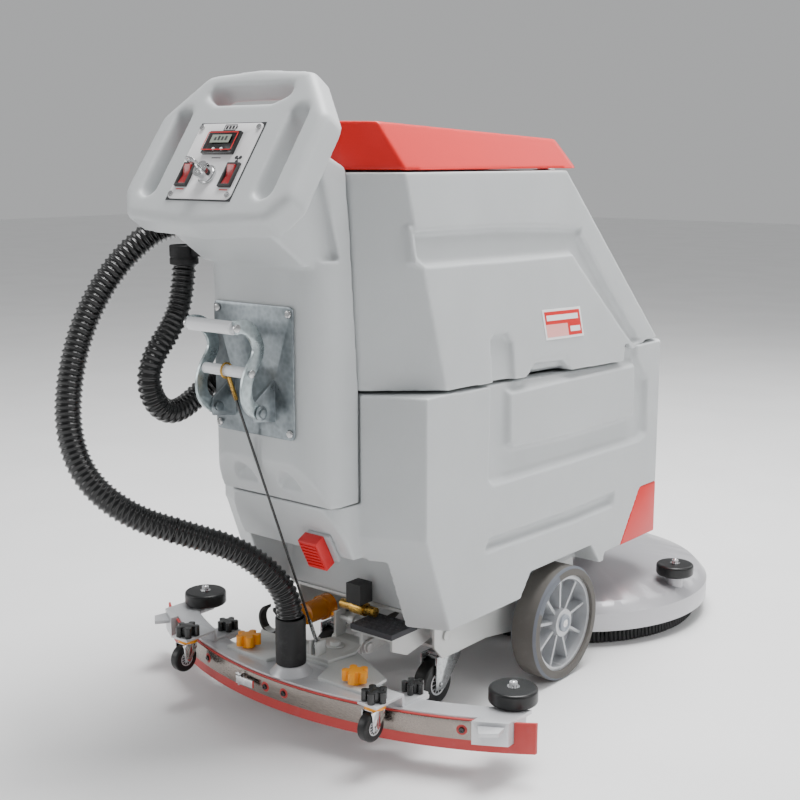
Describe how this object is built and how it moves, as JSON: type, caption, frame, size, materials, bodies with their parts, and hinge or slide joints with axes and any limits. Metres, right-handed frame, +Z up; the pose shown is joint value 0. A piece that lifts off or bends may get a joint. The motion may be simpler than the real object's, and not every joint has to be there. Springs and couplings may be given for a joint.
{
  "type": "walk-behind floor scrubber",
  "caption": "Walk-behind floor scrubber with a round brush deck, stacked water tanks, a rear console with handle and a curved squeegee on a lifting linkage.",
  "frame": {"origin": "on the floor, under the middle of the machine, measured without its hoses", "axes": "+Z up, +Y the driving direction, +X the right-hand side of the person who walks behind"},
  "size_m": [0.798, 1.3169, 1.0106],
  "materials": {
    "grey_moulding": "rotomoulded, fine grain",
    "red_moulding": "moulded, satin",
    "steel": "brushed",
    "battery_case": "moulded",
    "black_plastic": "moulded",
    "basket": "moulded basket",
    "galvanised": "zinc plated",
    "tyre": "solid tyre with spoked hub",
    "roller_black": "soft roller",
    "cast": "die cast",
    "rubber_red": "soft",
    "rubber_black": "soft",
    "yellow_plastic": "moulded",
    "deck_paint": "silver paint",
    "motor_paint": "painted",
    "brush_plastic": "nylon bristles",
    "brass_water": "brass",
    "hose": "corrugated hose",
    "white_plastic": "moulded"
  },
  "bodies": {
    "machine_body": {"lower_tank": "grey_moulding", "corner_trims": "red_moulding", "console_column": "grey_moulding", "tank_hinges_fixed": "steel", "batteries": "battery_case", "vacuum_motor": "black_plastic", "chassis_frame": "galvanised", "axle": "steel", "latch_plate": "steel", "water_fittings": "brass_water", "charge_connector": "red_moulding", "drain_hose": "hose", "control_panel": "white_plastic"},
    "recovery_tank": {"recovery_tank": "grey_moulding", "tank_hinges_moving": "steel", "strainer_basket": "basket"},
    "lid": {"lid": "red_moulding"},
    "lift_lever": {"lift_lever": "galvanised"},
    "lift_cable": {"lift_cable": "steel"},
    "suction_hose": {"suction_hose": "hose"},
    "lift_arm": {"lift_arm": "galvanised"},
    "level_link": {"level_link": "galvanised"},
    "squeegee_yoke": {"squeegee_yoke": "galvanised"},
    "squeegee": {"carrier_plate": "galvanised", "squeegee_beam": "cast", "squeegee_blades": "rubber_red", "hose_cuff": "rubber_black", "beam_fittings": "steel"},
    "toggle_lever": {"toggle_lever": "red_moulding"},
    "deck": {"deck_shroud": "deck_paint", "brush_motor": "motor_paint"},
    "deck_link": {"deck_link": "galvanised"},
    "deck_tie": {"deck_tie": "galvanised"},
    "brush": {"brush": "brush_plastic"},
    "deck_pedal": {"deck_pedal": "galvanised"},
    "rocker_left": {"rocker_left": "red_moulding"},
    "rocker_right": {"rocker_right": "red_moulding"},
    "key": {"key": "steel"},
    "meter_button_left": {"meter_button_left": "white_plastic"},
    "meter_button_right": {"meter_button_right": "white_plastic"},
    "main_wheel_left": {"main_wheel_left": "tyre"},
    "caster_fork_left": {"caster_fork_left": "steel"},
    "caster_wheel_left": {"caster_wheel_left": "roller_black"},
    "squeegee_knob_left": {"squeegee_knob_left": "yellow_plastic"},
    "clamp_knob_left": {"clamp_knob_left": "black_plastic"},
    "height_knob_left": {"height_knob_left": "black_plastic"},
    "foot_fork_left": {"foot_fork_left": "steel"},
    "foot_wheel_left": {"foot_wheel_left": "roller_black"},
    "bumper_roller_left": {"bumper_roller_left": "roller_black"},
    "deck_roller_left": {"deck_roller_left": "roller_black"},
    "main_wheel_right": {"main_wheel_right": "tyre"},
    "caster_fork_right": {"caster_fork_right": "steel"},
    "caster_wheel_right": {"caster_wheel_right": "roller_black"},
    "squeegee_knob_right": {"squeegee_knob_right": "yellow_plastic"},
    "clamp_knob_right": {"clamp_knob_right": "black_plastic"},
    "height_knob_right": {"height_knob_right": "black_plastic"},
    "foot_fork_right": {"foot_fork_right": "steel"},
    "foot_wheel_right": {"foot_wheel_right": "roller_black"},
    "bumper_roller_right": {"bumper_roller_right": "roller_black"},
    "deck_roller_right": {"deck_roller_right": "roller_black"}
  },
  "joints": [
    {"name": "squeegee_lever", "type": "hinge", "parent": "machine_body", "child": "lift_lever", "pos_m": [0, -0.55224, 0.531], "axis": [1, 0, 0], "range_deg": [0, 83], "deforming": ["lift_cable", "suction_hose"]},
    {"name": "cable_hinge", "type": "hinge", "parent": "lift_lever", "child": "lift_cable", "pos_m": [0, -0.57024, 0.59], "axis": [1, 0, 0], "range_deg": [-78, 2]},
    {"name": "lift_arm_hinge", "type": "hinge", "parent": "machine_body", "child": "lift_arm", "pos_m": [0, -0.14424, 0.118], "axis": [1, 0, 0], "range_deg": [-0.5, 17]},
    {"name": "level_link_hinge", "type": "hinge", "parent": "machine_body", "child": "level_link", "pos_m": [0, -0.14424, 0.156], "axis": [1, 0, 0], "range_deg": [-0.5, 17]},
    {"name": "yoke_level", "type": "hinge", "parent": "lift_arm", "child": "squeegee_yoke", "pos_m": [0, -0.30424, 0.1], "axis": [1, 0, 0], "range_deg": [-17, 0.5]},
    {"name": "hose_end_travel", "type": "slide", "parent": "machine_body", "child": "suction_hose", "axis": [0, 0.2536, -0.9673], "range_m": [-0.0005, 0.0475], "deforming": ["suction_hose"]},
    {"name": "squeegee_swing", "type": "hinge", "parent": "squeegee_yoke", "child": "squeegee", "pos_m": [0, -0.34624, 0.098], "axis": [0, 0, 1], "range_deg": [-8, 8], "deforming": ["suction_hose"]},
    {"name": "tank_tilt", "type": "hinge", "parent": "machine_body", "child": "recovery_tank", "pos_m": [-0.224, -0.06424, 0.546], "axis": [0, -1, 0], "range_deg": [0, 80]},
    {"name": "lid_hinge", "type": "hinge", "parent": "recovery_tank", "child": "lid", "pos_m": [0, 0.07876, 0.866], "axis": [1, 0, 0], "range_deg": [-100, 0]},
    {"name": "deck_pedal", "type": "hinge", "parent": "machine_body", "child": "deck_pedal", "pos_m": [0, -0.24624, 0.132], "axis": [1, 0, 0], "range_deg": [0, 20]},
    {"name": "deck_link_hinge", "type": "hinge", "parent": "machine_body", "child": "deck_link", "pos_m": [0, 0.02776, 0.148], "axis": [1, 0, 0], "range_deg": [-0.5, 14.2]},
    {"name": "deck_tie_hinge", "type": "hinge", "parent": "machine_body", "child": "deck_tie", "pos_m": [0, 0.02776, 0.126], "axis": [1, 0, 0], "range_deg": [-0.5, 14.2]},
    {"name": "deck_level", "type": "hinge", "parent": "deck_link", "child": "deck", "pos_m": [0, 0.17576, 0.148], "axis": [1, 0, 0], "range_deg": [-14.2, 0.5]},
    {"name": "brush_spin", "type": "hinge", "parent": "deck", "child": "brush", "pos_m": [0, 0.34976, 0.05], "axis": [0, 0, 1], "continuous": true},
    {"name": "wheel_spin_left", "type": "hinge", "parent": "machine_body", "child": "main_wheel_left", "pos_m": [-0.203, -0.00624, 0.1], "axis": [1, 0, 0], "continuous": true},
    {"name": "wheel_spin_right", "type": "hinge", "parent": "machine_body", "child": "main_wheel_right", "pos_m": [0.203, -0.00624, 0.1], "axis": [1, 0, 0], "continuous": true},
    {"name": "caster_swivel_left", "type": "hinge", "parent": "machine_body", "child": "caster_fork_left", "pos_m": [-0.112, -0.19224, 0.09], "axis": [0, 0, 1], "continuous": true},
    {"name": "caster_roll_left", "type": "hinge", "parent": "caster_fork_left", "child": "caster_wheel_left", "pos_m": [-0.112, -0.23324, 0.0375], "axis": [1, 0, 0], "continuous": true},
    {"name": "caster_swivel_right", "type": "hinge", "parent": "machine_body", "child": "caster_fork_right", "pos_m": [0.112, -0.19224, 0.09], "axis": [0, 0, 1], "continuous": true},
    {"name": "caster_roll_right", "type": "hinge", "parent": "caster_fork_right", "child": "caster_wheel_right", "pos_m": [0.112, -0.23324, 0.0375], "axis": [1, 0, 0], "continuous": true},
    {"name": "key_turn", "type": "hinge", "parent": "machine_body", "child": "key", "pos_m": [0, -0.60623, 0.87181], "axis": [0, -0.8221, 0.5693], "range_deg": [-90, 0]},
    {"name": "rocker_left", "type": "hinge", "parent": "machine_body", "child": "rocker_left", "pos_m": [-0.044, -0.59472, 0.86384], "axis": [1, 0, 0], "range_deg": [0, 18]},
    {"name": "rocker_right", "type": "hinge", "parent": "machine_body", "child": "rocker_right", "pos_m": [0.044, -0.59472, 0.86384], "axis": [1, 0, 0], "range_deg": [0, 18]},
    {"name": "meter_button_left", "type": "slide", "parent": "machine_body", "child": "meter_button_left", "axis": [0, -0.8221, 0.5693], "range_m": [-0.001, 0], "stiffness_N_per_m": 200, "springref_m": 0.0005},
    {"name": "meter_button_right", "type": "slide", "parent": "machine_body", "child": "meter_button_right", "axis": [0, -0.8221, 0.5693], "range_m": [-0.001, 0], "stiffness_N_per_m": 200, "springref_m": 0.0005},
    {"name": "strap_toggle", "type": "hinge", "parent": "squeegee", "child": "toggle_lever", "pos_m": [-0.076, -0.49065, 0.077], "axis": [0, 0, 1], "range_deg": [-110, 0]},
    {"name": "squeegee_knob_left", "type": "hinge", "parent": "squeegee", "child": "squeegee_knob_left", "pos_m": [-0.117, -0.42924, 0.11], "axis": [0, 0, 1], "continuous": true},
    {"name": "squeegee_knob_right", "type": "hinge", "parent": "squeegee", "child": "squeegee_knob_right", "pos_m": [0.117, -0.42924, 0.11], "axis": [0, 0, 1], "continuous": true},
    {"name": "bumper_roller_left", "type": "hinge", "parent": "squeegee", "child": "bumper_roller_left", "pos_m": [-0.336, -0.32524, 0.109], "axis": [0, 0, 1], "continuous": true},
    {"name": "bumper_roller_right", "type": "hinge", "parent": "squeegee", "child": "bumper_roller_right", "pos_m": [0.336, -0.32524, 0.109], "axis": [0, 0, 1], "continuous": true},
    {"name": "deck_roller_left", "type": "hinge", "parent": "deck", "child": "deck_roller_left", "pos_m": [-0.252, 0.33976, 0.116], "axis": [0, 0, 1], "continuous": true},
    {"name": "deck_roller_right", "type": "hinge", "parent": "deck", "child": "deck_roller_right", "pos_m": [0.252, 0.33976, 0.116], "axis": [0, 0, 1], "continuous": true},
    {"name": "foot_swivel_left", "type": "hinge", "parent": "squeegee", "child": "foot_fork_left", "pos_m": [-0.203, -0.48424, 0.105], "axis": [0, 0, 1], "range_deg": [-95, 95]},
    {"name": "foot_roll_left", "type": "hinge", "parent": "foot_fork_left", "child": "foot_wheel_left", "pos_m": [-0.203, -0.49424, 0.08], "axis": [1, 0, 0], "continuous": true},
    {"name": "foot_swivel_right", "type": "hinge", "parent": "squeegee", "child": "foot_fork_right", "pos_m": [0.203, -0.48424, 0.105], "axis": [0, 0, 1], "range_deg": [-95, 95]},
    {"name": "foot_roll_right", "type": "hinge", "parent": "foot_fork_right", "child": "foot_wheel_right", "pos_m": [0.203, -0.49424, 0.08], "axis": [1, 0, 0], "continuous": true},
    {"name": "height_knob_left", "type": "hinge", "parent": "squeegee", "child": "height_knob_left", "pos_m": [-0.203, -0.48424, 0.12], "axis": [0, 0, 1], "continuous": true},
    {"name": "height_knob_right", "type": "hinge", "parent": "squeegee", "child": "height_knob_right", "pos_m": [0.203, -0.48424, 0.12], "axis": [0, 0, 1], "continuous": true},
    {"name": "clamp_knob_left", "type": "hinge", "parent": "squeegee", "child": "clamp_knob_left", "pos_m": [-0.203, -0.39524, 0.108], "axis": [0, 0, 1], "continuous": true},
    {"name": "clamp_knob_right", "type": "hinge", "parent": "squeegee", "child": "clamp_knob_right", "pos_m": [0.203, -0.39524, 0.108], "axis": [0, 0, 1], "continuous": true}
  ],
  "couplings": [
    {"joint": "cable_hinge", "follows": "squeegee_lever", "ratio": -0.9177},
    {"joint": "lift_arm_hinge", "follows": "squeegee_lever", "ratio": 0.2},
    {"joint": "level_link_hinge", "follows": "squeegee_lever", "ratio": 0.2},
    {"joint": "yoke_level", "follows": "squeegee_lever", "ratio": -0.2},
    {"joint": "hose_end_travel", "follows": "squeegee_lever", "m_per_rad": 0.03211},
    {"joint": "deck_link_hinge", "follows": "deck_pedal", "ratio": 0.685},
    {"joint": "deck_tie_hinge", "follows": "deck_pedal", "ratio": 0.685},
    {"joint": "deck_level", "follows": "deck_pedal", "ratio": -0.685}
  ]
}
